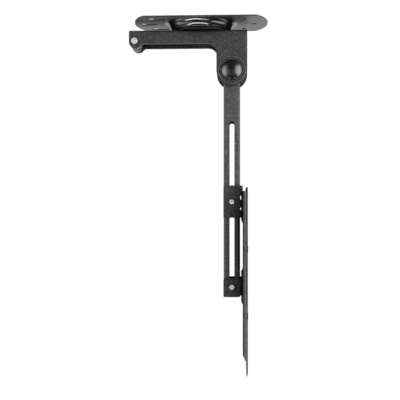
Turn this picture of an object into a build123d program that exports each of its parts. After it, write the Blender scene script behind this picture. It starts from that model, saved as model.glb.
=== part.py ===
from build123d import *
import math
import os

# Folding ceiling mount for a small television, in millimetres.
# The origin is on the swivel axis, at the face that lies on the ceiling.
# +Z is up, +X points to the television and +Y across the arm.

# Ceiling plate, a pressed disc with two straight sides
plate_diameter = 166.6
plate_width = 91.0
plate_sheet = 1.6
plate_corner = 7.0
boss_base_radius = 43.8
boss_floor_radius = 37.2
boss_depth = 10.5
boss_bend = 2.6
boss_land = 3.0
keyhole_length = 23.0
keyhole_slot_width = 6.4
keyhole_head_radius = 5.0
screw_hole_radius = 3.6
screw_row_inset = 29.8
screw_row_y = 29.0
screw_end_inset = 17.3

# Swivel joint under the ceiling plate
swivel_thread = 10.0
swivel_head_radius = 10.5
swivel_head_height = 5.0
swivel_disc_radius = 30.0
swivel_disc_thickness = 1.5
swivel_washer_radius = 12.0
swivel_washer_thickness = 1.6
swivel_nut_width = 17.0
swivel_nut_height = 8.0
swivel_nut_crown = 9.5
swivel_nut_bevel = 1.2
swivel_thread_past_nut = 0.8
thread_bevel = 0.7

# Swivel bracket, a folded channel with two L-shaped cheeks
bracket_sheet = 2.3
bracket_bend = 1.2
bracket_rear_x = -89.3
bracket_rail_depth = 17.3
bracket_inner_corner = 11.0
leg_width = 38.1
pivot_x = 38.6
pivot_drop = 62.2
lug_radius = 8.1
lug_drop = 26.3
lug_blend = 5.0

# Friction pivot between bracket and arm
pivot_thread = 10.0
pivot_head_width = 16.0
pivot_head_height = 4.5
pivot_nut_width = 16.0
pivot_nut_height = 6.0
pivot_thread_past_nut = 0.6
bush_radius = 7.0
glide_disc_radius = 15.0
glide_disc_thickness = 1.0
housing_radius = 19.3
housing_depth = 7.0
housing_floor = 2.0
housing_bore_radius = 11.4
housing_bevel = 0.8
disc_spring_radius = 10.0
disc_spring_sheet = 1.0
disc_spring_rise = 0.6
pivot_washer_radius = 10.0
pivot_washer_thickness = 1.6
ring_radius = 17.4
ring_thickness = 1.5
ring_lip_width = 1.8
ring_ridge_radius = 13.9
ring_ridge_width = 1.2
dome_radius = 12.3
dome_height = 10.0
dome_skirt = 3.6
dome_wall = 1.4

# Latch at the rear end of the bracket
latch_axis_inset = 7.0
latch_axis_drop = 25.4
latch_thread = 6.0
thread_past_nut = 1.0
latch_head_radius = 3.95
latch_head_height = 3.4
latch_head_round = 1.0
latch_socket_width = 3.0
latch_socket_depth = 1.8
latch_nut_width = 10.0
latch_nut_height = 5.0
latch_sleeve_radius = 4.6
latch_sheet = 2.0
latch_width = 20.0
latch_eye_radius = 7.4
latch_heel_radius = 6.2
latch_heel_drop = 2.6
latch_reach = 32.0
latch_bar_foot = 2.4
latch_bar_height = 5.4
latch_lip = 2.6
latch_lip_round = 1.7
latch_toe_round = 3.2
latch_web_start = 10.0
spring_wire = 1.4
spring_turns = 4
spring_pitch = 1.9
spring_leg = 6.2

# Arm, a rectangular tube with a long slot through both sides
arm_depth = 20.5
arm_width = 30.0
arm_wall = 1.8
arm_corner = 3.0
arm_inner_corner = 1.4
arm_above_pivot = 13.0
arm_below_pivot = 281.2
slot_width = 6.2
slot_below_pivot = 63.5
slot_above_foot = 8.6
latch_window_rear = 6.0
latch_window_front = 9.2
latch_window_width = 22.6
latch_window_corner = 2.0
plug_flange = 2.0
plug_depth = 4.0
plug_wall = 2.0
plug_corner = 1.2
plug_round = 0.8

# Clamps that hold the screen plate to the arm
clamp_sheet = 2.0
clamp_bend = 1.4
clamp_web_gap = 1.3
clamp_rear_overhang = 0.2
upper_web_rise = 6.8
upper_web_height = 42.6
upper_ear_height = 40.0
upper_bolt_fall = 20.4
relief_high_fall = 15.1
relief_high = 4.4
relief_low_fall = 29.0
relief_low = 2.4
relief_width = 1.1
ear_slope_run = 4.2
ear_slope_rise = 4.4
lower_web_fall = 101.9
lower_web_height = 35.0
lower_ear_inset = 6.7
lower_ear_height = 22.8
lower_bolt_fall = 10.6
ear_corner = 1.5
weld_leg = 3.6
clamp_thread = 4.0
clamp_head_radius = 3.1
clamp_head_height = 3.0
clamp_head_round = 0.9
clamp_socket_width = 2.5
clamp_socket_depth = 1.6
clamp_washer_radius = 5.2
clamp_washer_thickness = 0.8
lock_washer_radius = 3.8
lock_washer_thickness = 1.0
clamp_nut_width = 7.0
clamp_nut_height = 4.6

# Screen plate and the hat-shaped spine behind it
spine_sheet = 1.5
spine_depth = 3.8
spine_width = 50.0
spine_brim = 8.0
spine_bend = 0.8
spine_rise = 104.4
spine_length = 207.0
spine_chamfer = 5.0
screen_sheet = 1.6
screen_margin = 8.0
screen_below_pivot = 254.0
screen_corner = 12.0
screen_hole_radius = 2.6
hole_span_small = 75.0
hole_span_middle = 100.0
hole_span_large = 200.0
screen_window_width = 29.0
screen_window_height = 62.0
screen_window_corner = 8.0
rivet_radius = 2.0
rivet_head_radius = 4.4
rivet_head_height = 1.2
rivet_head_round = 0.9
rivet_tail_radius = 3.2
rivet_tail_height = 1.0
rivet_from_top = 71.5
rivet_from_foot = 53.8

# Clearances
thread_clearance = 0.2
turning_clearance = 0.05
sliding_clearance = 0.25
curve_clearance = 0.3
side_clearance = 0.2

# Places worked out from the sizes above
disc_top_z = -boss_depth
bracket_top_z = disc_top_z - swivel_disc_thickness
web_under_z = bracket_top_z - bracket_sheet
rail_foot_z = bracket_top_z - bracket_rail_depth
leg_front_x = pivot_x + leg_width / 2
leg_rear_x = pivot_x - leg_width / 2
pivot_z = -pivot_drop
lug_x = bracket_rear_x + lug_radius
lug_z = -lug_drop
latch_x = bracket_rear_x + latch_axis_inset
latch_z = -latch_axis_drop
arm_half = arm_width / 2
cheek_in = arm_half + glide_disc_thickness
cheek_out = cheek_in + bracket_sheet
arm_front_x = pivot_x + arm_depth / 2
arm_rear_x = pivot_x - arm_depth / 2
arm_foot_z = pivot_z - arm_below_pivot
slot_top_z = pivot_z - slot_below_pivot
slot_foot_z = arm_foot_z + slot_above_foot
screen_centre_z = pivot_z - screen_below_pivot
spine_top_z = screen_centre_z + spine_rise
housing_out = cheek_out + housing_depth
clamp_in = arm_half + sliding_clearance
clamp_out = clamp_in + clamp_sheet
clamp_hole_radius = clamp_thread / 2 + thread_clearance / 2
clamp_web_x = arm_front_x + clamp_web_gap
spine_rear_x = clamp_web_x + clamp_sheet
screen_rear_x = spine_rear_x + spine_depth
screen_front_x = screen_rear_x + screen_sheet
screen_size = hole_span_large + 2 * screen_margin
screen_window_y = (hole_span_middle + hole_span_large) / 4

parts = {}


def along_y(x, y, z):
    # A plane whose normal is +Y, with +X to its right
    return Plane(origin=(x, y, z), x_dir=(1, 0, 0), z_dir=(0, 1, 0))


def side_plane(y=0.0):
    # Sketch on XZ: local x is +X and local y is +Z, with the normal along -Y
    return Plane(origin=(0, y, 0), x_dir=(1, 0, 0), z_dir=(0, -1, 0))


def rod(radius, y0, y1, x, z):
    # A round bar along +Y from y0 to y1
    return extrude(along_y(x, y0, z) * Circle(radius), amount=y1 - y0)


def hex_bar(width, y0, y1, x, z):
    # A hexagonal bar along +Y, given its width across flats
    outline = RegularPolygon(width / 2, 6, major_radius=False)
    return extrude(along_y(x, y0, z) * outline, amount=y1 - y0)


def upright(radius, z0, z1, x=0.0, y=0.0):
    # A round bar along +Z from z0 to z1
    return extrude(Plane(origin=(x, y, z0)) * Circle(radius), amount=z1 - z0)


def block(x0, x1, y0, y1, z0, z1):
    box = Box(x1 - x0, y1 - y0, z1 - z0)
    return Pos((x0 + x1) / 2, (y0 + y1) / 2, (z0 + z1) / 2) * box


def rectangle(x0, x1, y0, y1):
    return Pos((x0 + x1) / 2, (y0 + y1) / 2) * Rectangle(x1 - x0, y1 - y0)


def folded(points, radius, thickness, plane, side):
    # A strip of sheet bent along a line of straight runs
    line = FilletPolyline(*points, radius=radius)
    edge = offset(Wire(line.edges()), amount=thickness, side=side, closed=True)
    return plane * make_face(edge.edges())


def keep(name, shape):
    parts[name] = shape


def ceiling_outline():
    disc = Circle(plate_diameter / 2)
    flats = Rectangle(plate_diameter, plate_width)
    outline = disc & flats
    return fillet(outline.vertices(), plate_corner)


def boss_profile():
    # Half section of the drawn boss, from the axis to the flat of the plate
    reach = boss_base_radius + boss_land
    points = (
        (0, -boss_depth),
        (boss_floor_radius, -boss_depth),
        (boss_base_radius, -plate_sheet),
        (reach, -plate_sheet),
    )
    return folded(points, boss_bend, plate_sheet, Plane.XZ, Side.LEFT)


def make_ceiling_plate():
    outline = ceiling_outline()
    sheet = extrude(outline, amount=-plate_sheet)
    sheet -= upright(boss_base_radius + boss_land, -plate_sheet - 1, 1)
    boss = revolve(boss_profile(), Axis.Z)
    plate = sheet + (boss & extrude(outline, amount=-boss_depth))
    neck = Rectangle(swivel_thread + thread_clearance, swivel_thread + thread_clearance)
    plate -= extrude(Plane(origin=(0, 0, -boss_depth - 1)) * neck, amount=boss_depth)
    cut = 2 * plate_sheet
    keyhole = SlotOverall(keyhole_length, keyhole_slot_width)
    keyhole += Pos(keyhole_head_radius - keyhole_length / 2, 0) * Circle(keyhole_head_radius)
    row_x = plate_diameter / 2 - screw_row_inset
    spots = ((row_x, screw_row_y), (row_x, -screw_row_y), (plate_diameter / 2 - screw_end_inset, 0))
    for x, y in spots:
        plate -= extrude(Plane(origin=(-x, y, -cut)) * keyhole, amount=2 * cut)
        plate -= upright(screw_hole_radius, -cut, cut, x, y)
    keep("ceiling_plate", plate)


def make_swivel():
    floor = -boss_depth + plate_sheet
    sphere = (swivel_head_radius ** 2 + swivel_head_height ** 2) / (2 * swivel_head_height)
    head = Pos(0, 0, floor + swivel_head_height - sphere) * Sphere(sphere)
    head &= upright(swivel_head_radius, floor, floor + swivel_head_height)
    neck = Rectangle(swivel_thread, swivel_thread)
    neck = extrude(Plane(origin=(0, 0, disc_top_z)) * neck, amount=plate_sheet)
    washer_z = web_under_z - swivel_washer_thickness
    nut_z = washer_z - swivel_nut_height
    tip = nut_z - swivel_thread_past_nut
    shank = upright(swivel_thread / 2, tip, floor)
    shank = chamfer(shank.edges().sort_by(Axis.Z)[0], thread_bevel)
    keep("swivel_bolt", head + neck + shank)

    gap = swivel_thread / 2 + thread_clearance / 2
    disc = upright(swivel_disc_radius, bracket_top_z, disc_top_z)
    keep("swivel_disc", disc - upright(gap, bracket_top_z - 1, 0))

    washer = upright(swivel_washer_radius, washer_z, web_under_z)
    keep("swivel_washer", washer - upright(gap, washer_z - 1, 0))

    hexagon = RegularPolygon(swivel_nut_width / 2, 6, major_radius=False)
    nut = extrude(Plane(origin=(0, 0, nut_z)) * hexagon, amount=swivel_nut_height)
    crown = upright(swivel_nut_crown, nut_z, washer_z + 1)
    crown = chamfer(crown.edges().sort_by(Axis.Z)[0], swivel_nut_bevel)
    bore = upright(swivel_thread / 2, nut_z - 1, 0)
    keep("swivel_nut", (nut & crown) - bore)


def cheek_outline():
    # Side view of the bracket: rail, front leg with a round end, rear lug
    outline = rectangle(lug_x, leg_front_x, rail_foot_z, bracket_top_z)
    outline += rectangle(bracket_rear_x, lug_x, lug_z, bracket_top_z)
    outline += rectangle(leg_rear_x, leg_front_x, pivot_z, bracket_top_z)
    inner = outline.vertices().sort_by_distance((leg_rear_x, rail_foot_z, 0))[0]
    outline = fillet(inner, bracket_inner_corner)
    outline += Pos(pivot_x, pivot_z) * Circle(leg_width / 2)
    outline += Pos(lug_x, lug_z) * Circle(lug_radius)
    dx = math.sqrt(lug_radius ** 2 - (lug_z - rail_foot_z) ** 2)
    crook = outline.vertices().sort_by_distance((lug_x + dx, rail_foot_z, 0))[0]
    return fillet(crook, lug_blend)


def bracket_channel(foot_z):
    # The folded U that the bracket is cut from
    points = (
        (-cheek_out, foot_z),
        (-cheek_out, bracket_top_z),
        (cheek_out, bracket_top_z),
        (cheek_out, foot_z),
    )
    plane = Plane(origin=(bracket_rear_x, 0, 0), x_dir=(0, 1, 0), z_dir=(1, 0, 0))
    outer = bracket_bend + bracket_sheet
    section = folded(points, outer, bracket_sheet, plane, Side.RIGHT)
    return extrude(section, amount=leg_front_x - bracket_rear_x)


def make_bracket():
    foot = pivot_z - leg_width / 2 - 1
    channel = bracket_channel(foot)
    outline = extrude(side_plane(cheek_out + 1) * cheek_outline(), amount=2 * cheek_out + 2)
    bracket = channel & outline
    bracket -= upright(swivel_thread / 2 + turning_clearance, web_under_z - 1, 0)
    reach = cheek_out + 1
    bracket -= rod(pivot_thread / 2 + thread_clearance / 2, -reach, reach, pivot_x, pivot_z)
    bracket -= rod(latch_thread / 2 + thread_clearance / 2, -reach, reach, latch_x, latch_z)
    keep("swivel_bracket", bracket)


def ring_solid(hole_radius):
    # Moulded trim ring in its own frame, seated at z = 0 and facing +Z, with a
    # round lip along its rim and a round ridge beside the dome
    section = rectangle(hole_radius, ring_radius, 0, ring_thickness)
    lip = ring_lip_width / 2
    section += Pos(ring_radius - lip, ring_thickness) * Circle(lip)
    section += Pos(ring_ridge_radius, ring_thickness) * Circle(ring_ridge_width / 2)
    return revolve(Plane.XZ * section, Axis.Z)


def dome_solid():
    # Snap-on cover in its own frame, seated at z = 0: a spherical cap with a wall
    outer = dome_half(dome_radius, dome_height)
    inner = dome_half(dome_radius - dome_wall, dome_height - dome_wall)
    return revolve(outer, Axis.Z) - revolve(inner, Axis.Z)


def dome_half(radius, height):
    rise = height - dome_skirt
    sphere = (radius ** 2 + rise ** 2) / (2 * rise)
    half_turn = math.asin(radius / sphere) / 2
    mid = (sphere * math.sin(half_turn), height - sphere * (1 - math.cos(half_turn)))
    edges = [
        Line((0, 0), (radius, 0)),
        Line((radius, 0), (radius, dome_skirt)),
        ThreePointArc((radius, dome_skirt), mid, (0, height)),
        Line((0, height), (0, 0)),
    ]
    return Plane.XZ * make_face([e.edge() for e in edges])


def facing(side, y):
    # Places a solid made along +Z so that it faces +Y or -Y at the pivot
    z_dir = (0, side, 0)
    return Plane(origin=(pivot_x, y, pivot_z), x_dir=(1, 0, 0), z_dir=z_dir).location


def disc_spring(y_low, y_high):
    # A conical washer whose inner edge is at y_low and outer edge at y_high
    bore = pivot_thread / 2 + curve_clearance
    points = (
        (bore, y_low),
        (disc_spring_radius, y_high),
        (disc_spring_radius, y_high + disc_spring_sheet),
        (bore, y_low + disc_spring_sheet),
    )
    section = Plane.XZ * make_face(Polyline(*points, close=True).edges())
    return facing(1, 0) * revolve(section, Axis.Z)


def make_pivot():
    bore = pivot_thread / 2 + thread_clearance / 2
    # Glide discs between the cheeks and the arm
    for name, y0, y1 in (("near", -cheek_in, -arm_half), ("far", arm_half, cheek_in)):
        disc = rod(glide_disc_radius, y0, y1, pivot_x, pivot_z)
        keep("glide_disc_" + name, disc - rod(bore, y0 - 1, y1 + 1, pivot_x, pivot_z))

    # Near side: ring under the bolt head, dome over it
    near_floor = -cheek_out - ring_thickness
    keep("pivot_ring_near", facing(-1, -cheek_out) * ring_solid(bore))
    keep("pivot_dome_near", facing(-1, near_floor) * dome_solid())

    # Far side: housing, a pair of disc springs, washer, nut, ring and dome
    floor = cheek_out + housing_floor
    housing = rod(housing_radius, cheek_out, housing_out, pivot_x, pivot_z)
    housing = chamfer(housing.edges().sort_by(Axis.Y)[-1], housing_bevel)
    housing -= rod(housing_bore_radius, floor, housing_out + 1, pivot_x, pivot_z)
    housing -= rod(bore, cheek_out - 1, housing_out + 1, pivot_x, pivot_z)
    keep("friction_housing", housing)
    middle = floor + disc_spring_sheet + disc_spring_rise
    springs = disc_spring(floor, floor + disc_spring_rise)
    springs += disc_spring(middle + disc_spring_rise, middle)
    keep("disc_springs", springs)
    washer_y = middle + disc_spring_sheet + disc_spring_rise
    nut_y = washer_y + pivot_washer_thickness
    washer = rod(pivot_washer_radius, washer_y, nut_y, pivot_x, pivot_z)
    keep("pivot_washer", washer - rod(bore, washer_y - 1, nut_y + 1, pivot_x, pivot_z))
    nut_end = nut_y + pivot_nut_height
    nut = hex_bar(pivot_nut_width, nut_y, nut_end, pivot_x, pivot_z)
    nut -= rod(pivot_thread / 2, nut_y - 1, nut_end + 1, pivot_x, pivot_z)
    keep("pivot_nut", nut)
    opening = dome_radius - dome_wall
    keep("pivot_ring_far", facing(1, housing_out) * ring_solid(opening))
    keep("pivot_dome_far", facing(1, housing_out + ring_thickness) * dome_solid())

    head_y = near_floor - pivot_head_height
    head = hex_bar(pivot_head_width, head_y, near_floor, pivot_x, pivot_z)
    shank = rod(pivot_thread / 2, near_floor, nut_end + pivot_thread_past_nut, pivot_x, pivot_z)
    keep("pivot_bolt", head + shank)


def latch_outline():
    # Side view of the latch: eye round its bolt, bar towards +X, lip at the tip
    eye = Pos(latch_x, latch_z) * Circle(latch_eye_radius)
    foot = latch_z + latch_bar_foot
    top = foot + latch_bar_height
    tip = latch_x + latch_reach
    bar = rectangle(latch_x, tip, foot, top)
    lip = rectangle(tip - latch_sheet, tip, foot, top + latch_lip)
    heel = Pos(latch_x, latch_z - latch_heel_drop) * Circle(latch_heel_radius)
    outline = eye + heel + bar + lip
    inner = outline.vertices().sort_by_distance((tip - latch_sheet, top, 0))[0]
    outline = fillet(inner, latch_lip_round)
    toe = outline.vertices().sort_by_distance((tip, foot, 0))[0]
    return fillet(toe, latch_toe_round)


def make_latch():
    half = latch_width / 2
    profile = extrude(side_plane(half) * latch_outline(), amount=latch_width)
    # The hollow leaves two side plates joined by the web along the top
    web_foot = latch_z + latch_bar_foot + latch_bar_height - latch_sheet
    inner = half - latch_sheet
    rear = latch_x - latch_eye_radius - 1
    tip = latch_x + latch_reach
    hollow = block(rear, tip - latch_sheet, -inner, inner, latch_z - 2 * latch_eye_radius, web_foot)
    web_start = latch_x + latch_web_start
    behind = block(rear, web_start, -inner, inner, web_foot - 1, latch_z + 2 * latch_eye_radius)
    eye = rod(latch_sleeve_radius + turning_clearance, -half - 1, half + 1, latch_x, latch_z)
    keep("latch_lever", profile - hollow - behind - eye)

    # Sleeve between the cheeks, with the bolt through it
    sleeve = rod(latch_sleeve_radius, -cheek_in, cheek_in, latch_x, latch_z)
    bore = rod(latch_thread / 2 + thread_clearance / 2, -cheek_in - 1, cheek_in + 1, latch_x, latch_z)
    keep("latch_sleeve", sleeve - bore)

    head_y = -cheek_out - latch_head_height
    head = rod(latch_head_radius, head_y, -cheek_out, latch_x, latch_z)
    head = fillet(head.edges().sort_by(Axis.Y)[0], latch_head_round)
    head -= hex_bar(latch_socket_width, head_y - 1, head_y + latch_socket_depth, latch_x, latch_z)
    nut_end = cheek_out + latch_nut_height
    shank = rod(latch_thread / 2, -cheek_out, nut_end + thread_past_nut, latch_x, latch_z)
    keep("latch_bolt", head + shank)
    nut = hex_bar(latch_nut_width, cheek_out, nut_end, latch_x, latch_z)
    keep("latch_nut", nut - rod(latch_thread / 2, cheek_out - 1, nut_end + 1, latch_x, latch_z))


def make_latch_spring():
    # Torsion spring round the sleeve: a coil, a leg up to the bracket and a leg forward
    wire = spring_wire / 2
    coil_radius = latch_sleeve_radius + curve_clearance + wire
    length = spring_turns * spring_pitch
    helix = Helix(spring_pitch, length, coil_radius)
    path = Plane(origin=(latch_x, -length / 2, latch_z), x_dir=(0, 0, 1), z_dir=(0, 1, 0)) * helix
    section = Plane(origin=path @ 0, z_dir=path % 0) * Circle(wire)
    coil = sweep(section, path=path, is_frenet=True)
    ends = []
    for end in (path @ 0, path @ 1):
        tip = Vector(latch_x + spring_leg, end.Y, end.Z)
        coil += rod_between(end, tip, wire)
        ends.append(tip)
    knee = ends[0]
    coil += Pos(knee.X, knee.Y, knee.Z) * Sphere(wire)
    coil += rod_between(knee, (knee.X, knee.Y, web_under_z - curve_clearance), wire)
    keep("latch_spring", coil)


def rod_between(a, b, radius):
    a = Vector(a)
    b = Vector(b)
    return extrude(Plane(origin=a, z_dir=b - a) * Circle(radius), amount=(b - a).length)


def make_arm():
    top = pivot_z + arm_above_pivot
    foot = arm_foot_z + plug_flange
    outer = RectangleRounded(arm_depth, arm_width, arm_corner)
    inner_depth = arm_depth - 2 * arm_wall
    inner_width = arm_width - 2 * arm_wall
    inner = RectangleRounded(inner_depth, inner_width, arm_inner_corner)
    place = Plane(origin=(pivot_x, 0, foot))
    arm = extrude(place * (outer - inner), amount=top - foot)
    length = slot_top_z - slot_foot_z
    slot = SlotOverall(length, slot_width, rotation=90)
    slot_z = (slot_top_z + slot_foot_z) / 2
    reach = arm_half + 1
    arm -= extrude(side_plane(reach) * Pos(pivot_x, slot_z) * slot, amount=2 * reach)
    arm -= rod(bush_radius, -reach, reach, pivot_x, pivot_z)
    # Window in the rear wall that the latch drops into when the arm is up
    window_z = pivot_z - (pivot_x - latch_x) + (latch_window_front - latch_window_rear) / 2
    plane = Plane(origin=(arm_rear_x - 1, 0, window_z), x_dir=(0, 1, 0), z_dir=(1, 0, 0))
    window_height = latch_window_front + latch_window_rear
    window = RectangleRounded(latch_window_width, window_height, latch_window_corner)
    arm -= extrude(plane * window, amount=arm_wall + 2)
    keep("swing_arm", arm)

    bush = rod(bush_radius, -arm_half, arm_half, pivot_x, pivot_z)
    bore = rod(pivot_thread / 2 + turning_clearance, -reach, reach, pivot_x, pivot_z)
    keep("arm_bush", bush - bore)


def make_arm_plug():
    flange = extrude(
        Plane(origin=(pivot_x, 0, arm_foot_z)) * RectangleRounded(arm_depth, arm_width, arm_corner),
        amount=plug_flange,
    )
    flange = fillet(flange.edges().group_by(Axis.Z)[0], plug_round)
    inset = 2 * (arm_wall + side_clearance / 2)
    depth = arm_depth - inset
    width = arm_width - inset
    body = RectangleRounded(depth, width, plug_corner)
    hollow = Rectangle(depth - 2 * plug_wall, width - 2 * plug_wall)
    place = Plane(origin=(pivot_x, 0, arm_foot_z + plug_flange))
    keep("arm_plug", flange + extrude(place * (body - hollow), amount=plug_depth))


def clamp_blank(foot_z, top_z):
    # U of sheet round the front of the arm, seen from above
    rear = arm_rear_x - clamp_rear_overhang
    points = (
        (rear, -clamp_in),
        (clamp_web_x, -clamp_in),
        (clamp_web_x, clamp_in),
        (rear, clamp_in),
    )
    plane = Plane(origin=(0, 0, foot_z))
    face = folded(points, clamp_bend, clamp_sheet, plane, Side.RIGHT)
    return extrude(face, amount=top_z - foot_z)


def weld_bead(z, direction):
    # Fillet weld along an end of the clamp's web, on the spine
    edges = Polyline(
        (spine_rear_x, z),
        (clamp_web_x, z),
        (spine_rear_x, z + direction * weld_leg),
        close=True,
    )
    half = clamp_in - clamp_bend
    return extrude(side_plane(half) * make_face(edges.edges()), amount=2 * half)


def trim_ears(clamp, low, high):
    # Cuts both ears away between two heights and leaves the web
    reach = clamp_out + 1
    bend = clamp_in - clamp_bend
    for y0, y1 in ((-reach, -bend), (bend, reach)):
        clamp -= block(arm_rear_x - 1, spine_rear_x + 1, y0, y1, low, high)
    return clamp


def clamp_body(web_top, web_height, ear_top, ear_height, beads, reliefs):
    web_foot = web_top - web_height
    clamp = clamp_blank(web_foot, web_top)
    clamp = trim_ears(clamp, web_foot - 1, ear_top - ear_height)
    if ear_top < web_top:
        clamp = trim_ears(clamp, ear_top, web_top + 1)
    rear = arm_rear_x - clamp_rear_overhang
    corners = clamp.edges().filter_by(Axis.Y).filter_by_position(Axis.X, rear - 0.1, rear + 0.1)
    clamp = fillet(corners, ear_corner)
    reach = clamp_out + 1
    inner = clamp_in - clamp_bend
    rear_x = clamp_web_x - relief_width
    for z, height in reliefs:
        for y0, y1 in ((-reach, -inner), (inner, reach)):
            clamp -= block(rear_x, clamp_web_x, y0, y1, z - height / 2, z + height / 2)
    for z, direction in beads:
        clamp += weld_bead(z, direction)
    return clamp


def ear_slope(ear_foot):
    # Wedge that takes the front corner off the foot of both ears
    front = clamp_web_x + clamp_sheet
    steepness = ear_slope_rise / ear_slope_run
    edges = Polyline(
        (front - ear_slope_run, ear_foot),
        (front - ear_slope_run, ear_foot - 1),
        (front + 1, ear_foot - 1),
        (front + 1, ear_foot + ear_slope_rise + steepness),
        close=True,
    )
    reach = clamp_out + 1
    wedge = extrude(side_plane(reach) * make_face(edges.edges()), amount=2 * reach)
    bend = clamp_in - clamp_bend
    top = ear_foot + ear_slope_rise + 2
    return wedge - block(arm_rear_x, front + 2, -bend, bend, ear_foot - 2, top)


def make_clamp_bolt(name, z):
    # Cross bolt through both ears and the arm's slot, with its far washers and nut
    head_y = -clamp_out - clamp_head_height
    head = rod(clamp_head_radius, head_y, -clamp_out, pivot_x, z)
    head = fillet(head.edges().sort_by(Axis.Y)[0], clamp_head_round)
    head -= hex_bar(clamp_socket_width, head_y - 1, head_y + clamp_socket_depth, pivot_x, z)
    lock_y = clamp_out + clamp_washer_thickness
    nut_y = lock_y + lock_washer_thickness
    nut_end = nut_y + clamp_nut_height
    shank = rod(clamp_thread / 2, -clamp_out, nut_end + thread_past_nut, pivot_x, z)
    keep(name + "_clamp_bolt", head + shank)
    nut = hex_bar(clamp_nut_width, nut_y, nut_end, pivot_x, z)
    nut -= rod(clamp_thread / 2, nut_y - 1, nut_end + 1, pivot_x, z)
    keep(name + "_clamp_nut", nut)
    washers = rod(clamp_washer_radius, clamp_out, lock_y, pivot_x, z)
    washers += rod(lock_washer_radius, lock_y, nut_y, pivot_x, z)
    washers -= rod(clamp_hole_radius, clamp_out - 1, nut_y + 1, pivot_x, z)
    keep(name + "_clamp_washers", washers)


def make_upper_clamp():
    top = spine_top_z + upper_web_rise
    beads = ((top - upper_web_height, -1),)
    reliefs = ((top - relief_high_fall, relief_high), (top - relief_low_fall, relief_low))
    clamp = clamp_body(top, upper_web_height, top, upper_ear_height, beads, reliefs)
    bolt_z = top - upper_bolt_fall
    hole = rod(clamp_hole_radius, -clamp_out - 1, clamp_out + 1, pivot_x, bolt_z)
    keep("upper_clamp", clamp - hole)
    make_clamp_bolt("upper", bolt_z)


def make_lower_clamp():
    top = spine_top_z - lower_web_fall
    ear_top = top - lower_ear_inset
    beads = ((top, 1), (top - lower_web_height, -1))
    clamp = clamp_body(top, lower_web_height, ear_top, lower_ear_height, beads, ())
    clamp -= ear_slope(ear_top - lower_ear_height)
    bolt_z = ear_top - lower_bolt_fall
    hole = rod(clamp_hole_radius, -clamp_out - 1, clamp_out + 1, pivot_x, bolt_z)
    keep("lower_clamp", clamp - hole)
    make_clamp_bolt("lower", bolt_z)


def make_spine():
    # Hat section, open to the screen plate, with its brims on the plate
    half = spine_width / 2
    edge = half + spine_brim
    points = (
        (screen_rear_x, -edge),
        (screen_rear_x, -half + spine_sheet),
        (spine_rear_x + spine_sheet, -half + spine_sheet),
        (spine_rear_x + spine_sheet, half - spine_sheet),
        (screen_rear_x, half - spine_sheet),
        (screen_rear_x, edge),
    )
    foot = spine_top_z - spine_length
    face = folded(points, spine_bend, spine_sheet, Plane(origin=(0, 0, foot)), Side.LEFT)
    spine = extrude(face, amount=spine_length)
    # Sloped foot, cut back from the rear face
    wedge = Polyline(
        (spine_rear_x - 1, foot - 1),
        (spine_rear_x - 1, foot + spine_chamfer),
        (spine_rear_x, foot + spine_chamfer),
        (screen_rear_x - spine_sheet, foot),
        (screen_rear_x - spine_sheet, foot - 1),
        close=True,
    )
    spine -= extrude(side_plane(half + 0.5) * make_face(wedge.edges()), amount=2 * half + 1)
    for y, z in rivet_places():
        spine -= bar_x(rivet_radius, screen_rear_x - 2 * spine_sheet, screen_rear_x + 1, y, z)
    keep("screen_spine", spine)


def bar_x(radius, x0, x1, y, z):
    # A round bar along +X from x0 to x1
    plane = Plane(origin=(x0, y, z), x_dir=(0, 1, 0), z_dir=(1, 0, 0))
    return extrude(plane * Circle(radius), amount=x1 - x0)


def rivet_places():
    y = spine_width / 2 + spine_brim / 2
    rows = (spine_top_z - rivet_from_top, spine_top_z - spine_length + rivet_from_foot)
    return [(side * y, z) for z in rows for side in (-1, 1)]


def hole_places():
    places = []
    for span_y, span_z in (
        (hole_span_small, hole_span_small),
        (hole_span_middle, hole_span_middle),
        (hole_span_large, hole_span_middle),
        (hole_span_large, hole_span_large),
    ):
        for sy in (-0.5, 0.5):
            for sz in (-0.5, 0.5):
                places.append((sy * span_y, screen_centre_z + sz * span_z))
    return places


def make_screen_plate():
    plane = Plane(origin=(screen_rear_x, 0, screen_centre_z), x_dir=(0, 1, 0), z_dir=(1, 0, 0))
    outline = RectangleRounded(screen_size, screen_size, screen_corner)
    sheet = extrude(plane * outline, amount=screen_sheet)
    for y, z in hole_places():
        sheet -= bar_x(screen_hole_radius, screen_rear_x - 1, screen_front_x + 1, y, z)
    window = RectangleRounded(screen_window_width, screen_window_height, screen_window_corner)
    for side in (-1, 1):
        cut = plane * Pos(side * screen_window_y, 0) * window
        sheet -= extrude(cut, amount=screen_sheet)
    for y, z in rivet_places():
        sheet -= bar_x(rivet_radius, screen_rear_x - 1, screen_front_x + 1, y, z)
    keep("screen_plate", sheet)

    rivets = None
    for y, z in rivet_places():
        rear = screen_rear_x - spine_sheet
        rivet = bar_x(rivet_radius, rear, screen_front_x, y, z)
        front = screen_front_x + rivet_head_height
        front_head = bar_x(rivet_head_radius, screen_front_x, front, y, z)
        front_head = fillet(front_head.edges().sort_by(Axis.X)[-1], rivet_head_round)
        rear_head = bar_x(rivet_tail_radius, rear - rivet_tail_height, rear, y, z)
        rivet = rivet + front_head + rear_head
        rivets = rivet if rivets is None else rivets + rivet
    keep("spine_rivets", rivets)


def build():
    make_ceiling_plate()
    make_swivel()
    make_bracket()
    make_pivot()
    make_latch()
    make_latch_spring()
    make_arm()
    make_arm_plug()
    make_upper_clamp()
    make_lower_clamp()
    make_spine()
    make_screen_plate()


build()
os.makedirs("parts", exist_ok=True)
for name, shape in parts.items():
    export_step(shape, "parts/" + name + ".step")
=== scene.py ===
import math

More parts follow.
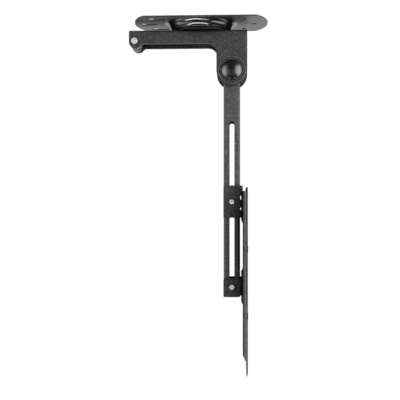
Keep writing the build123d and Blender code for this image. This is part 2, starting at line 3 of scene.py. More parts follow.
import bmesh
import bpy
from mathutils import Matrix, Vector


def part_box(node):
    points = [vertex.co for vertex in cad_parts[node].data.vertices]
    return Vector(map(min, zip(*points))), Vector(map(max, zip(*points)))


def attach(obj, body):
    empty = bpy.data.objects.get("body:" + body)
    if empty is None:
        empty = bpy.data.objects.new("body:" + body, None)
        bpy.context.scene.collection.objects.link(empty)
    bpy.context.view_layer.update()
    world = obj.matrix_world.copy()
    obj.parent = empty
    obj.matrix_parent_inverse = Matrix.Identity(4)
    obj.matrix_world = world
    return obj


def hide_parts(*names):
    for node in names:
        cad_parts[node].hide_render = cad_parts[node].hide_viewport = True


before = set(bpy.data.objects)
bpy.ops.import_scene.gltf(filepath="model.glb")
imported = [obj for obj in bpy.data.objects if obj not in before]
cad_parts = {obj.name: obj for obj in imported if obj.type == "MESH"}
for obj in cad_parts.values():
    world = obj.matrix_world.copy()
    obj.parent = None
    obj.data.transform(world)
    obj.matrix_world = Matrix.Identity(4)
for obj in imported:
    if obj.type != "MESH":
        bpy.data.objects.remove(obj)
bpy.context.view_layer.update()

MM = 0.001


# Material nodes


class Nodes:
    """A node tree, with short calls for its nodes."""

    def __init__(self, tree, coordinates):
        self.tree = tree
        self.coords = self.node("ShaderNodeTexCoord").outputs[coordinates]

    def node(self, kind, **values):
        node = self.tree.nodes.new(kind)
        for key, value in values.items():
            setattr(node, key, value)
        return node

    def link(self, source, target):
        self.tree.links.new(source, target)

    def feed(self, socket, value):
        """Links a node's output to a socket, or writes a number or colour on it."""
        if isinstance(value, bpy.types.NodeSocket):
            self.link(value, socket)
        elif isinstance(value, tuple):
            socket.default_value = (*value, 1.0)
        else:
            socket.default_value = value

    def stretched(self, scale):
        mapping = self.node("ShaderNodeMapping")
        mapping.inputs["Scale"].default_value = scale
        self.link(self.coords, mapping.inputs["Vector"])
        return mapping.outputs["Vector"]

    def axes(self):
        split = self.node("ShaderNodeSeparateXYZ")
        self.link(self.coords, split.inputs["Vector"])
        return split.outputs["X"], split.outputs["Y"], split.outputs["Z"]

    def combined(self, *values):
        node = self.node("ShaderNodeCombineXYZ")
        for socket, value in zip(node.inputs, values):
            self.feed(socket, value)
        return node.outputs["Vector"]

    def length(self, vector):
        node = self.node("ShaderNodeVectorMath", operation="LENGTH")
        self.link(vector, node.inputs[0])
        return node.outputs["Value"]

    def noise(self, size, detail=2.0, roughness=0.5, vector=None):
        """Noise whose blobs are about size metres across."""
        node = self.node("ShaderNodeTexNoise")
        node.inputs["Scale"].default_value = 1.0 / size
        node.inputs["Detail"].default_value = detail
        node.inputs["Roughness"].default_value = roughness
        self.link(vector or self.coords, node.inputs["Vector"])
        return node.outputs["Fac"]

    def cells(self, size):
        node = self.node("ShaderNodeTexVoronoi")
        node.inputs["Scale"].default_value = 1.0 / size
        self.link(self.coords, node.inputs["Vector"])
        return node.outputs["Distance"]

    def spread(self, value, low, high, to_low=0.0, to_high=1.0, way="LINEAR"):
        """Maps low to high onto to_low to to_high, and holds both ends beyond them."""
        node = self.node("ShaderNodeMapRange", interpolation_type=way)
        node.inputs["From Min"].default_value = low
        node.inputs["From Max"].default_value = high
        node.inputs["To Min"].default_value = to_low
        node.inputs["To Max"].default_value = to_high
        self.link(value, node.inputs["Value"])
        return node.outputs["Result"]

    def maths(self, operation, a, b=0.0):
        node = self.node("ShaderNodeMath", operation=operation)
        self.feed(node.inputs[0], a)
        self.feed(node.inputs[1], b)
        return node.outputs["Value"]

    def product(self, a, b):
        return self.maths("MULTIPLY", a, b)

    def total(self, a, b):
        return self.maths("ADD", a, b)

    def blended(self, fac, a, b):
        """A number between a and b."""
        node = self.node("ShaderNodeMix", data_type="FLOAT")
        self.link(fac, node.inputs[0])
        self.feed(node.inputs[2], a)
        self.feed(node.inputs[3], b)
        return node.outputs[0]

    def mixed(self, fac, a, b):
        """A colour between a and b."""
        node = self.node("ShaderNodeMix", data_type="RGBA")
        self.link(fac, node.inputs[0])
        self.feed(node.inputs[6], a)
        self.feed(node.inputs[7], b)
        return node.outputs[2]


class Shader(Nodes):
    """A material under construction, in the object's own coordinates."""

    def __init__(self, name):
        self.material = bpy.data.materials.new(name)
        self.material.use_nodes = True
        super().__init__(self.material.node_tree, "Object")
        self.bsdf = self.tree.nodes["Principled BSDF"]

    def bump(self, height, distance, normal=None):
        node = self.node("ShaderNodeBump")
        node.inputs["Strength"].default_value = 1.0
        node.inputs["Distance"].default_value = distance
        self.link(height, node.inputs["Height"])
        if normal is not None:
            self.link(normal, node.inputs["Normal"])
        return node.outputs["Normal"]

    def rounded(self, radius):
        """A normal that rounds the sharp edges of sheet and bar."""
        node = self.node("ShaderNodeBevel", samples=4)
        node.inputs["Radius"].default_value = radius
        return node.outputs["Normal"]

    def crevices(self, reach):
        """1 in the open, falling to 0 deep in holes, gaps and corners."""
        node = self.node("ShaderNodeAmbientOcclusion", samples=6)
        node.inputs["Distance"].default_value = reach
        return node.outputs["AO"]

    def edges(self, rounded):
        """Nearly 1 along sharp edges and 0 on flats."""
        geometry = self.node("ShaderNodeNewGeometry").outputs["Normal"]
        node = self.node("ShaderNodeVectorMath", operation="DOT_PRODUCT")
        self.link(rounded, node.inputs[0])
        self.link(geometry, node.inputs[1])
        return self.spread(node.outputs["Value"], 0.995, 0.90)

    def set(self, **values):
        """Constants on the shader's own sockets."""
        for key, value in values.items():
            self.bsdf.inputs[key.replace("_", " ")].default_value = value

    def finish(self, color, roughness, normal=None, metallic=0.0):
        self.set(Metallic=metallic)
        self.feed(self.bsdf.inputs["Base Color"], color)
        self.feed(self.bsdf.inputs["Roughness"], roughness)
        if normal is not None:
            self.link(normal, self.bsdf.inputs["Normal"])
        return self.material


def scaled(color, factor):
    return tuple(c * factor for c in color)


# Materials


def coat_layers(s, color, roughness, peel, grain, edge_strength, edge_tone=2.2, edge_width=0.35):
    """Black powder coat: orange peel, pebbly grain, faint clouds, edges of another tone, and
    painted shade in holes, gaps and corners.

    Peel, grain and edge width are in millimetres. The edge tone multiplies the colour.
    """
    clouds = s.noise(24 * MM, 3.0)
    speck = s.noise(grain * MM, 2.0, 0.6)
    orange = s.noise(peel * MM, 2.0)
    base = s.mixed(s.spread(clouds, 0.35, 0.65), scaled(color, 0.78), scaled(color, 1.02))
    base = s.mixed(s.spread(speck, 0.42, 0.66), base, scaled(color, 1.75))
    normal = s.rounded(edge_width * MM)
    edge = s.product(s.edges(normal), s.spread(s.noise(5 * MM), 0.3, 0.7, 0.1, edge_strength))
    base = s.mixed(s.product(edge, 0.6), base, scaled(color, edge_tone))
    # Painted shade: the coat goes darker in holes, gaps, corners and between parts.
    base = s.mixed(s.spread(s.crevices(26 * MM), 0.30, 0.90), scaled(color, 0.20), base)
    shine = s.spread(orange, 0.3, 0.7, roughness - 0.05, roughness + 0.05)
    height = s.total(s.product(speck, 0.45), orange)
    return base, shine, height, normal


def powder_coat(name, color, roughness, peel=1.8, grain=2.2, depth=0.12):
    s = Shader(name)
    base, shine, height, normal = coat_layers(s, color, roughness, peel, grain, edge_strength=1.0)
    return s.finish(base, shine, s.bump(height, depth * MM, normal))


def clamp_finish(name, color, low, high):
    """Pebbly powder coat with painted shade along its edges, and painted shade that deepens
    towards the spine, where the screen plate keeps the light off.
    """
    s = Shader(name)
    # The edge tone of 0.1 paints shade along the rounded sheet edges.
    base, shine, height, normal = coat_layers(
        s, color, roughness=0.36, peel=2.4, grain=2.8, edge_strength=1.5, edge_tone=0.1, edge_width=0.8)
    x, _, _ = s.axes()
    # Painted shade: darker towards the spine, where the screen plate blocks the light.
    base = s.mixed(s.spread(x, low[0], high[0], 0.0, 0.70), base, scaled(color, 0.25))
    return s.finish(base, shine, s.bump(height, 0.40 * MM, normal))


def spine_coat_with_rims(name, color, high):
    """Powder coat with painted shade on the side walls, a painted highlight where they bend into
    the brims, and painted highlights on the brims' cut edges.
    """
    s = Shader(name)
    base, shine, height, normal = coat_layers(
        s, color, roughness=0.55, peel=1.8, grain=2.2, edge_strength=0.0)
    wall_shade_tone, bend_highlight_tone, cut_edge_highlight_tone = (scaled(color, factor) for factor in (0.3, 11.0, 24.0))
    x, y, _ = s.axes()
    side = s.maths("ABSOLUTE", y)
    brim_edge = high[1]
    # Painted shade on the side walls, and a painted highlight where they bend into the brims.
    wall = s.product(
        s.spread(side, brim_edge - 8.4 * MM, brim_edge - 8.2 * MM),
        s.spread(side, brim_edge - 6.2 * MM, brim_edge - 6.8 * MM))
    bend = s.spread(x, high[0] - 2.4 * MM, high[0] - 2.1 * MM)
    base = s.mixed(wall, base, s.mixed(bend, wall_shade_tone, bend_highlight_tone))
    # Painted highlight on the brims' cut edges.
    cut = s.spread(side, brim_edge - 0.25 * MM, brim_edge - 0.10 * MM)
    base = s.mixed(cut, base, cut_edge_highlight_tone)
    s.set(Specular_IOR_Level=0.25)
    return s.finish(base, shine, s.bump(height, 0.12 * MM, normal))


def ceiling_coat(color, boss_radius):
    """Powder coat, glossier on the boss, whose drawn wall has soft waves round it."""
    s = Shader("ceiling_plate_powder_coat")
    base, shine, height, normal = coat_layers(
        s, color, roughness=0.46, peel=1.6, grain=1.5, edge_strength=1.0)
    x, y, z = s.axes()
    reach = s.length(s.combined(x, y, 0.0))
    boss = s.spread(reach, boss_radius + 1.5 * MM, boss_radius - 1.5 * MM)
    wave_length, wave_start, wave_height = 9 * MM, 2.7, 0.48 * MM
    down_wall = s.total(reach, s.product(z, 1.2))
    turns = s.total(s.product(down_wall, 2 * math.pi / wave_length), wave_start)
    drift = s.product(s.noise(22 * MM, 1.0), 6.5)
    waves = s.maths("SINE", s.total(turns, drift))
    waves = s.product(waves, s.spread(s.maths("ABSOLUTE", x), 32 * MM, 18 * MM))
    waves = s.product(waves, s.spread(reach, boss_radius - 19 * MM, boss_radius - 15 * MM))
    base = s.mixed(boss, base, scaled(color, 0.15))
    shine = s.blended(boss, shine, 0.15)
    normal = s.bump(height, 0.03 * MM, normal)
    normal = s.bump(s.product(waves, boss), wave_height, normal)
    s.set(Specular_IOR_Level=0.9)
    return s.finish(base, shine, normal)


def gloss_plastic(name, color):
    """Polished black plastic with hair scratches under a clear gloss."""
    s = Shader(name)
    scratch = s.noise(3 * MM, 6.0, 0.6, s.stretched((1.0, 1.0, 9.0)))
    flow = s.noise(6 * MM, 2.0)
    base = s.mixed(s.spread(flow, 0.3, 0.7), scaled(color, 0.85), scaled(color, 1.2))
    shine = s.spread(scratch, 0.45, 0.75, 0.27, 0.34)
    normal = s.bump(s.total(s.product(scratch, 0.15), flow), 0.012 * MM)
    s.set(Specular_IOR_Level=1.0, Coat_Weight=1.0, Coat_Roughness=0.24)
    return s.finish(base, shine, normal)


def moulded_plastic(name, color, roughness, grain=0.45):
    """Black plastic with a fine spark-eroded texture."""
    s = Shader(name)
    texture = s.cells(grain * MM)
    tone = s.noise(7 * MM, 3.0)
    base = s.mixed(s.spread(tone, 0.35, 0.65), scaled(color, 0.88), scaled(color, 1.15))
    shine = s.spread(tone, 0.3, 0.7, roughness - 0.05, roughness + 0.06)
    normal = s.bump(texture, 0.02 * MM, s.rounded(0.2 * MM))
    return s.finish(base, shine, normal)


def trim_plastic(node, crest, color):
    """Moulded plastic with a painted highlight on the crests of a ring's ridges, which reach y =
    crest.
    """
    s = Shader(node + "_black_plastic")
    _, y, _ = s.axes()
    below = s.maths("ABSOLUTE", s.maths("SUBTRACT", y, crest))
    tone = s.noise(2.5 * MM, 3.0)
    # Painted highlight along the ridge crests, with a little random variation.
    crest_highlight = s.product(s.spread(below, 0.85 * MM, 0.35 * MM), s.spread(tone, 0.3, 0.7, 0.6, 1.0))
    base = s.mixed(crest_highlight, color, scaled(color, 8.5))
    normal = s.bump(s.cells(0.45 * MM), 0.015 * MM, s.rounded(0.2 * MM))
    return s.finish(base, s.spread(tone, 0.3, 0.7, 0.24, 0.32), normal)


def plated_steel(name, color, tint, roughness, grain, wave=0.0, metal=1.0):
    """Zinc or bare steel: fine lines, cloudy tint, handling marks, and painted shade in sockets
    and tight corners.

    Grain is how much finer the lines are along each axis, and wave is the depth in
    millimetres of a folded sheet's dents.
    """
    s = Shader(name)
    lines = s.noise(0.35 * MM, 4.0, 0.6, s.stretched(grain))
    clouds = s.noise(4 * MM, 4.0, 0.6)
    marks = s.cells(1.6 * MM)
    base = s.mixed(s.spread(clouds, 0.38, 0.62), color, tint)
    base = s.mixed(s.spread(lines, 0.45, 0.8, 0.0, 0.22), base, scaled(color, 0.55))
    # Painted shade: darker in sockets, holes and tight corners.
    base = s.mixed(s.spread(s.crevices(1.5 * MM), 0.12, 0.55), scaled(color, 0.12), base)
    shine = s.spread(lines, 0.3, 0.7, roughness - 0.07, roughness + 0.10)
    height = s.total(s.product(lines, 0.6), s.product(marks, 0.4))
    normal = s.rounded(0.25 * MM)
    if wave:
        normal = s.bump(s.noise(5 * MM, 1.0), wave * MM, normal)
    return s.finish(base, shine, s.bump(height, 0.018 * MM, normal), metallic=metal)


BOSS_RADIUS = 45 * MM
BRACKET_BLACK = (0.050, 0.051, 0.053)
ARM_BLACK = (0.074, 0.075, 0.076)
CLAMP_BLACK = (0.060, 0.060, 0.061)
PLATE_BLACK = (0.036, 0.037, 0.039)
SCREEN_BLACK = (0.032, 0.033, 0.035)
SPINE_BLACK = (0.036, 0.036, 0.037)
RING_BLACK = (0.017, 0.017, 0.018)

bracket_coat = powder_coat(
    "bracket_powder_coat", BRACKET_BLACK, 0.42, peel=2.0, grain=2.4, depth=0.20)
plate_coat = ceiling_coat(PLATE_BLACK, BOSS_RADIUS)
arm_coat = powder_coat("arm_powder_coat", ARM_BLACK, 0.48)
clamp_coat = clamp_finish("clamp_powder_coat", CLAMP_BLACK, *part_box("upper_clamp"))
spine_coat = spine_coat_with_rims("spine_powder_coat", SPINE_BLACK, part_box("screen_spine")[1])
screen_coat = powder_coat("screen_powder_coat", SCREEN_BLACK, 0.46, depth=0.06)
gloss_black = gloss_plastic("gloss_black_plastic", (0.004, 0.004, 0.0045))
plug_plastic = moulded_plastic("plug_black_plastic", (0.020, 0.020, 0.021), 0.30)
near_ring = trim_plastic("pivot_ring_near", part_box("pivot_ring_near")[0][1], RING_BLACK)
far_ring = trim_plastic("pivot_ring_far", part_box("pivot_ring_far")[1][1], RING_BLACK)
nylon = moulded_plastic("black_nylon", (0.009, 0.009, 0.009), 0.56, 0.6)
bright_zinc = plated_steel(
    "bright_zinc", (0.93, 0.93, 0.94), tint=(0.84, 0.85, 0.87),
    roughness=0.26, grain=(1, 8, 1), metal=0.2)
# A paler, non-metallic copy of bright_zinc for the clamp screws: a painted highlight that
# brightens their small heads.
zinc_with_painted_highlight = plated_steel(
    "zinc_with_painted_highlight", (0.98, 0.98, 0.98), tint=(0.93, 0.93, 0.95),
    roughness=0.24, grain=(1, 8, 1), metal=0.0)
yellow_zinc = plated_steel(
    "yellow_zinc", (0.80, 0.72, 0.56), tint=(0.36, 0.27, 0.14),
    roughness=0.24, grain=(1, 1, 7), wave=0.55, metal=0.8)
spring_wire = plated_steel(
    "spring_steel", (0.34, 0.33, 0.32), tint=(0.22, 0.21, 0.20),
    roughness=0.34, grain=(1, 9, 1))

FINISHES = {
    "ceiling_plate": plate_coat,
    "swivel_bracket": bracket_coat,
    "friction_housing": bracket_coat,
    "swing_arm": arm_coat,
    "upper_clamp": clamp_coat,
    "lower_clamp": clamp_coat,
    "screen_spine": spine_coat,
    "screen_plate": screen_coat,
    "spine_rivets": screen_coat,
    "pivot_ring_near": near_ring,
    "pivot_ring_far": far_ring,
    "arm_plug": plug_plastic,
    "pivot_dome_near": gloss_black,
    "pivot_dome_far": gloss_black,
    "swivel_disc": nylon,
    "glide_disc_near": nylon,
    "glide_disc_far": nylon,
    "arm_bush": nylon,
    "latch_lever": yellow_zinc,
    "latch_spring": spring_wire,
    "disc_springs": spring_wire,
}


def dress(obj, material):
    obj.data.materials.clear()
    obj.data.materials.append(material)


for name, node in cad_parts.items():
    dress(node, FINISHES.get(name, bright_zinc))


# Turned pieces: screws, nuts and washers


SIDES = 72
M4, M4_PITCH = 4.0 * MM, 0.7 * MM
M6, M6_PITCH = 6.0 * MM, 1.0 * MM
M10, M10_PITCH = 10.0 * MM, 1.5 * MM


def hexagon(width):
    """Radius of a hexagon with a corner at angle 0, given its width across flats."""
    def radius(angle):
        return width / 2 / math.cos(angle % (math.pi / 3) - math.pi / 6)
    return radius


def square(width):
    """Radius of a square with a flat facing angle 0, given its width."""
    def radius(angle):
        return width / 2 / math.cos((angle + math.pi / 4) % (math.pi / 2) - math.pi / 4)
    return radius


def helix(size, pitch, height, limit):
    """Radius round a thread at a height, no larger than a limit."""
    depth = 0.61 * pitch

    def radius(angle):
        ridge = abs((height / pitch - angle / (2 * math.pi)) % 1.0 * 2 - 1)
        return min(size / 2 - depth + depth * min(1.0, 1.2 * ridge), limit)
    return radius


def ring_points(place, radius, height):
    points = []
    for i in range(SIDES):
        angle = 2 * math.pi * i / SIDES
        r = radius(angle) if callable(radius) else radius
        h = height(angle) if callable(height) else height
        points.append(place(r * math.cos(angle), r * math.sin(angle), h))
    return points


def skin(bm, sections, bored=False):
    """Joins loops of points into one closed skin, bored right through if asked."""
    loops = [[bm.verts.new(point) for point in section] for section in sections]
    pairs = list(zip(loops, loops[1:]))
    if bored:
        pairs.append((loops[-1], loops[0]))
    else:
        bm.faces.new(loops[0])
        bm.faces.new(loops[-1])
    for a, b in pairs:
        count = len(a)
        for i in range(count):
            j = (i + 1) % count
            bm.faces.new((a[i], a[j], b[j], b[i]))


def turned(bm, place, rings, bored=False):
    """The skin through rings of a radius at a height, either of which may go by angle."""
    skin(bm, [ring_points(place, *ring) for ring in rings], bored)


def smooth_by_angle(obj):
    """Smooth faces, with edges of 32 degrees and more kept sharp."""
    for poly in obj.data.polygons:
        poly.use_smooth = True
    obj.data.set_sharp_from_angle(angle=math.radians(32))


def add_piece(name, bm, body, material, stands_for=None):
    bmesh.ops.recalc_face_normals(bm, faces=bm.faces)
    mesh = bpy.data.meshes.new(name)
    bm.to_mesh(mesh)
    bm.free()
    piece = bpy.data.objects.new(name, mesh)
    bpy.context.scene.collection.objects.link(piece)
    smooth_by_angle(piece)
    dress(piece, material)
    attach(piece, body)
    if stands_for:
        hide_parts(stands_for)


def along_y(x, z):
    """Turned pieces whose axis runs along Y, with heights as Y."""
    return lambda u, v, h: (x + u, h, z + v)


def along_z(x, y):
    return lambda u, v, h: (x + u, y + v, h)


def middle(node, axis):
    low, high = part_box(node)
    return (low[axis] + high[axis]) / 2


def threaded_end(size, pitch, start, tip):
    """Rings of a thread from a height to the bolt's bevelled tip."""
    rings_per_turn = 8
    way = 1 if tip > start else -1
    steps = round(abs(tip - start) / pitch * rings_per_turn)
    rings = [(size / 2, start)]
    for i in range(1, steps + 1):
        height = start + (tip - start) * i / steps
        limit = size / 2 - 0.6 * pitch + abs(tip - height) * 0.9
        rings.append((helix(size, pitch, way * height, limit), height))
    return rings


def socket_bolt(node, body, size, pitch, head, socket, threaded, material):
    """Button-head screw along Y: head radius and height, socket width and depth."""
    low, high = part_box(node)
    place = along_y(middle(node, 0), middle(node, 2))
    top = low[1]
    head_radius, head_height = head
    width, depth = socket
    seat = top + head_height
    hexed = hexagon(width)
    flare = hexagon(width + 0.5 * MM)
    rings = [
        (0.2 * width, top + depth + 0.35 * MM),
        (hexed, top + depth),
        (hexed, top + 0.25 * MM),
        (flare, top),
    ]
    land = 0.72 * head_radius
    steps = 7
    for i in range(steps + 1):
        turn = math.pi / 2 * i / steps
        radius = land + (head_radius - land) * math.sin(turn)
        rings.append((radius, top + 0.42 * head_height * (1 - math.cos(turn))))
    rings.append((head_radius, seat - 0.15 * MM))
    rings.append((head_radius - 0.15 * MM, seat))
    rings.append((size / 2, seat))
    rings += threaded_end(size, pitch, high[1] - threaded, high[1])
    bm = bmesh.new()
    turned(bm, place, rings)
    add_piece(node + "_threaded", bm, body, material, node)


def nut_rings(width, bore, low, high, collar=0.0):
    """Hexagon nut with bevelled corners, and a round collar at its high end if asked."""
    hexed = hexagon(width)
    flat = 0.475 * width
    sink = 0.35 * MM
    way = 1 if high > low else -1
    shoulder = high - way * collar

    def bevel(end, sign):
        return lambda a: end + sign * way * (hexed(a) - flat) * 0.55

    rings = [
        (bore + sink, low),
        (flat, low),
        (hexed, bevel(low, 1)),
        (hexed, bevel(shoulder, -1)),
        (flat, shoulder),
    ]
    if collar:
        rings += [
            (0.86 * flat, shoulder + way * 0.25 * collar),
            (0.86 * flat, high - way * 0.45 * collar),
            (0.78 * flat, high - way * 0.12 * collar),
            (0.70 * flat, high),
            (bore + sink, high),
            (bore + 0.4 * sink, high - way * 0.6 * collar),
        ]
    else:
        rings += [(bore + sink, high), (bore, high - way * sink)]
    rings.append((bore, low + way * sink))
    return rings


def hex_nut(node, body, width, size, collar=0.0):
    low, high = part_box(node)
    bm = bmesh.new()
    place = along_y(middle(node, 0), middle(node, 2))
    turned(bm, place, nut_rings(width, size / 2, low[1], high[1], collar), bored=True)
    add_piece(node + "_bevelled", bm, body, bright_zinc, node)


def washer_pair(node, body, flat_outer, lock_outer, bore, flat_thickness):
    """Flat washer with a split spring washer on it, given by their radii."""
    low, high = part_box(node)
    bm = bmesh.new()
    x, z = middle(node, 0), middle(node, 2)
    top = low[1] + flat_thickness
    edge = 0.12 * MM
    rings = [
        (bore, low[1]),
        (flat_outer, low[1]),
        (flat_outer, top - edge),
        (flat_outer - edge, top),
        (bore, top),
    ]
    turned(bm, along_y(x, z), rings, bored=True)
    steps = 60
    gap = math.radians(12)
    rise = 0.10 * MM
    sections = []
    for i in range(steps + 1):
        share = i / steps
        angle = gap / 2 + (2 * math.pi - gap) * share
        lift = rise * share
        section = (
            (bore, top + lift),
            (lock_outer, top + lift),
            (lock_outer, high[1] - rise + lift),
            (bore, high[1] - rise + lift),
        )
        across, up = math.cos(angle), math.sin(angle)
        sections.append([(x + r * across, h, z + r * up) for r, h in section])
    skin(bm, sections)
    add_piece(node + "_split", bm, body, bright_zinc, node)


def carriage_bolt():
    """Bolt of the swivel: domed head, square neck, thread at its foot."""
    node = "swivel_bolt"
    low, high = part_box(node)
    head_radius, head_height, neck = 10.5 * MM, 5.0 * MM, 1.6 * MM
    seat = high[2] - head_height
    rings = []
    steps = 12
    sphere = (head_radius ** 2 + head_height ** 2) / (2 * head_height)
    half = math.asin(head_radius / sphere)
    for i in range(steps + 1):
        turn = half * (0.04 + 0.96 * i / steps)
        rings.append((sphere * math.sin(turn), high[2] - sphere * (1 - math.cos(turn))))
    rings += [
        (square(M10), seat),
        (square(M10), seat - neck),
        (M10 / 2, seat - neck),
    ]
    rings += threaded_end(M10, M10_PITCH, low[2] + 11 * MM, low[2])
    bm = bmesh.new()
    turned(bm, along_z(0.0, 0.0), rings)
    add_piece("swivel_bolt_threaded", bm, "ceiling", bright_zinc, node)


def swivel_lock_nut():
    low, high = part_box("swivel_nut")
    width, collar = 17.0 * MM, 2.4 * MM
    bm = bmesh.new()
    turned(bm, along_z(0.0, 0.0), nut_rings(width, M10 / 2, high[2], low[2], collar), bored=True)
    add_piece("swivel_nut_bevelled", bm, "ceiling", bright_zinc, "swivel_nut")


socket_bolt(
    "latch_bolt", "bracket", M6, M6_PITCH, head=(3.95 * MM, 3.4 * MM),
    socket=(3.5 * MM, 2.7 * MM), threaded=12 * MM, material=bright_zinc)
hex_nut("latch_nut", "bracket", 10.0 * MM, M6, collar=1.5 * MM)
for end in ("upper", "lower"):
    bolt, nut, washers = (end + "_clamp_" + word for word in ("bolt", "nut", "washers"))
    socket_bolt(
        bolt, "carrier", M4, M4_PITCH, head=(3.1 * MM, 3.0 * MM),
        socket=(3.0 * MM, 2.4 * MM), threaded=9 * MM, material=zinc_with_painted_highlight)
    hex_nut(nut, "carrier", 7.0 * MM, M4)
    washer_pair(
        washers, "carrier", flat_outer=5.2 * MM, lock_outer=3.8 * MM, bore=2.1 * MM,
        flat_thickness=0.8 * MM)
carriage_bolt()
swivel_lock_nut()


# Weld beads between the clamps and the spine


def weld_bead(name, z, direction):
    """A rippled fillet weld along an end of a clamp's web."""
    spine_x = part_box("screen_spine")[0][0]
    leg = 4.0 * MM
    web = 2.2 * MM
    half = 14.2 * MM
    ripple = 1.5 * MM
    root = 0.05 * MM
    steps, arc_steps = 150, 8
    sections = []
    for i in range(steps + 1):
        y = -half + 2 * half * i / steps
        phase = (y / ripple) % 1.0
        swell = 1.0 - 0.16 * phase * phase + 0.04 * math.sin(y / (3.1 * MM))
        taper = math.sqrt(max(0.02, 1.0 - (abs(y) / half) ** 10))
        reach = leg * swell * taper
        depth = web * (0.86 + 0.14 * swell) * taper
        lean = 0.25 * MM * math.sin(y / (2.3 * MM))
        section = []
        for k in range(arc_steps + 1):
            turn = math.pi / 2 * k / arc_steps
            bulge = 1.0 - 0.19 * math.sin(2 * turn)
            x = spine_x - depth * math.cos(turn) * bulge
            up = (reach + lean) * math.sin(turn) * bulge
            section.append((x, y, z + direction * up))
        section.append((spine_x + root, y, z - direction * root))
        sections.append(section)
    bm = bmesh.new()
    skin(bm, sections)
    add_piece(name, bm, "carrier", weld_coat)


weld_coat = powder_coat(
    "weld_powder_coat", (0.020, 0.020, 0.021), 0.42, peel=1.2, grain=0.5, depth=0.06)
WELD_INSET = 3.6 * MM
upper_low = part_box("upper_clamp")[0][2]
lower_low, lower_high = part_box("lower_clamp")[0][2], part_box("lower_clamp")[1][2]
weld_bead("upper_clamp_weld", upper_low + WELD_INSET, -1)
weld_bead("lower_clamp_weld_top", lower_high - WELD_INSET, 1)
weld_bead("lower_clamp_weld_foot", lower_low + WELD_INSET, -1)


# Floor, lights and camera


FLOOR_Z = -1.6
FLOOR_RADIUS = 1.8
FLOOR_FRONT_GLOSS = 0.08
FLOOR_BACK_GLOSS = 0.7
AMBIENT = 0.56
FRONT_GLOSS = 0.22
RIGHT_GLOSS = 1.7
LEFT_GLOSS = 1.1
LIGHT_TARGET = Vector((0.02, 0.0, -0.18))


def make_floor():
    """Pale floor that fades to white for the camera, and mirrors darker in front."""
    mesh = bpy.data.meshes.new("floor")
    bm = bmesh.new()
    bmesh.ops.create_circle(bm, cap_ends=True, segments=96, radius=FLOOR_RADIUS)
    bm.to_mesh(mesh)
    bm.free()
    floor = bpy.data.objects.new("floor", mesh)
    floor.location = (0, 0, FLOOR_Z)
    bpy.context.scene.collection.objects.link(floor)
    s = Shader("floor_paper")
    s.set(Specular_IOR_Level=0.2)
    grain = s.noise(1.5 * MM, 3.0)
    path = s.node("ShaderNodeLightPath")
    camera, glossy = path.outputs["Is Camera Ray"], path.outputs["Is Glossy Ray"]
    paper = s.mixed(grain, (0.80, 0.80, 0.80), (0.84, 0.84, 0.84))
    s.finish(s.mixed(camera, (0.30, 0.30, 0.30), paper), 0.9)
    glow = s.node("ShaderNodeEmission")
    _, y, _ = s.axes()
    mirrored = s.spread(y, 0.0, 0.8, FLOOR_FRONT_GLOSS, FLOOR_BACK_GLOSS)
    s.link(s.blended(glossy, 1.0, mirrored), glow.inputs["Strength"])
    far = s.spread(s.length(s.coords), 0.35, 1.2)
    seen = s.product(camera, far)
    mix = s.node("ShaderNodeMixShader")
    s.link(s.maths("MAXIMUM", seen, glossy), mix.inputs[0])
    s.link(s.bsdf.outputs["BSDF"], mix.inputs[1])
    s.link(glow.outputs["Emission"], mix.inputs[2])
    output = s.tree.nodes["Material Output"]
    s.link(mix.outputs["Shader"], output.inputs["Surface"])
    floor.data.materials.append(s.material)


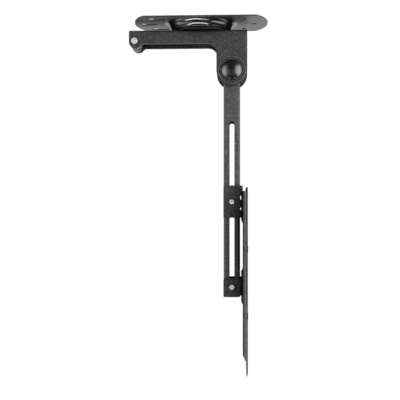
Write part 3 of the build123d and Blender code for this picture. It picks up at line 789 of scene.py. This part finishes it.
def make_world():
    """White to the camera. Reflections see it darker above and in front, with bright sides."""
    world = bpy.data.worlds.new("studio")
    bpy.context.scene.world = world
    world.use_nodes = True
    world.node_tree.nodes.clear()
    n = Nodes(world.node_tree, "Generated")
    x, y, z = n.axes()

    def ramp(*numbers):
        return n.spread(*numbers, way="SMOOTHSTEP")

    overhead = ramp(z, 0.05, 0.55, 1.0, 0.12)
    dim_above = ramp(z, -0.04, 0.07, 0.98, 0.13)
    front = ramp(y, -0.9, 0.1, FRONT_GLOSS, 1.0)
    level = n.product(ramp(z, 0.45, 0.75, 1.0, 0.0), ramp(y, 0.0, 0.35, 1.0, 0.0))
    right = n.product(ramp(x, 0.40, 0.90, 0.0, RIGHT_GLOSS), level)
    left = n.product(ramp(x, -0.45, -0.95, 0.0, LEFT_GLOSS), level)
    mirrored = n.total(n.product(dim_above, front), n.total(left, right))
    below = ramp(z, 0.0, -0.40, 1.0, 0.18)
    diffuse = n.product(n.product(overhead, below), AMBIENT)
    path = n.node("ShaderNodeLightPath")
    strength = n.blended(path.outputs["Is Glossy Ray"], diffuse, mirrored)
    strength = n.blended(path.outputs["Is Transmission Ray"], strength, 1.0)
    strength = n.blended(path.outputs["Is Camera Ray"], strength, 1.0)
    background = n.node("ShaderNodeBackground")
    n.feed(background.inputs["Color"], (1.0, 1.0, 1.0))
    n.link(strength, background.inputs["Strength"])
    output = n.node("ShaderNodeOutputWorld")
    n.link(background.outputs["Background"], output.inputs["Surface"])


def softbox(name, azimuth, elevation, distance, width, height, radiance):
    """Area lamp aimed at the part. Azimuth 0 is on the camera's side, and 90 towards +X."""
    a, e = math.radians(azimuth), math.radians(elevation)
    away = Vector((math.sin(a) * math.cos(e), -math.cos(a) * math.cos(e), math.sin(e)))
    light = bpy.data.lights.new(name, "AREA")
    light.shape = "RECTANGLE"
    light.size, light.size_y = width, height
    light.energy = radiance * math.pi * width * height
    lamp = bpy.data.objects.new(name, light)
    lamp.location = LIGHT_TARGET + away * distance
    lamp.rotation_mode = "QUATERNION"
    lamp.rotation_quaternion = away.to_track_quat("Z", "Y")
    bpy.context.scene.collection.objects.link(lamp)
    return lamp


def make_lights():
    key_front = softbox(
        "key_front", azimuth=10, elevation=11, distance=1.35, width=0.36, height=0.7,
        radiance=12.5)
    key_front.visible_glossy = False
    softbox(
        "key_right", azimuth=64, elevation=8, distance=1.35, width=1.7, height=1.5,
        radiance=0.9)
    softbox(
        "fill_left", azimuth=-84, elevation=4, distance=1.5, width=1.1, height=1.4,
        radiance=0.7)
    softbox(
        "under_back", azimuth=180, elevation=-67, distance=1.3, width=1.1, height=0.42,
        radiance=7.5)


def make_camera():
    """A 75 mm lens at a little over a metre, almost square to the arm's side."""
    yaw = math.radians(2.75)
    distance = 1.05
    target = Vector((-0.00164, 0.0, -0.223))
    data = bpy.data.cameras.new("camera")
    data.lens = 75.0
    data.sensor_width = 36.0
    camera = bpy.data.objects.new("camera", data)
    toward = Vector((-math.sin(yaw), math.cos(yaw), 0.0))
    camera.location = target - toward * distance
    camera.rotation_mode = "QUATERNION"
    camera.rotation_quaternion = toward.to_track_quat("-Z", "Y")
    bpy.context.scene.collection.objects.link(camera)
    bpy.context.scene.camera = camera


make_camera()
make_world()
make_floor()
make_lights()
bpy.context.scene.view_settings.view_transform = "Standard"
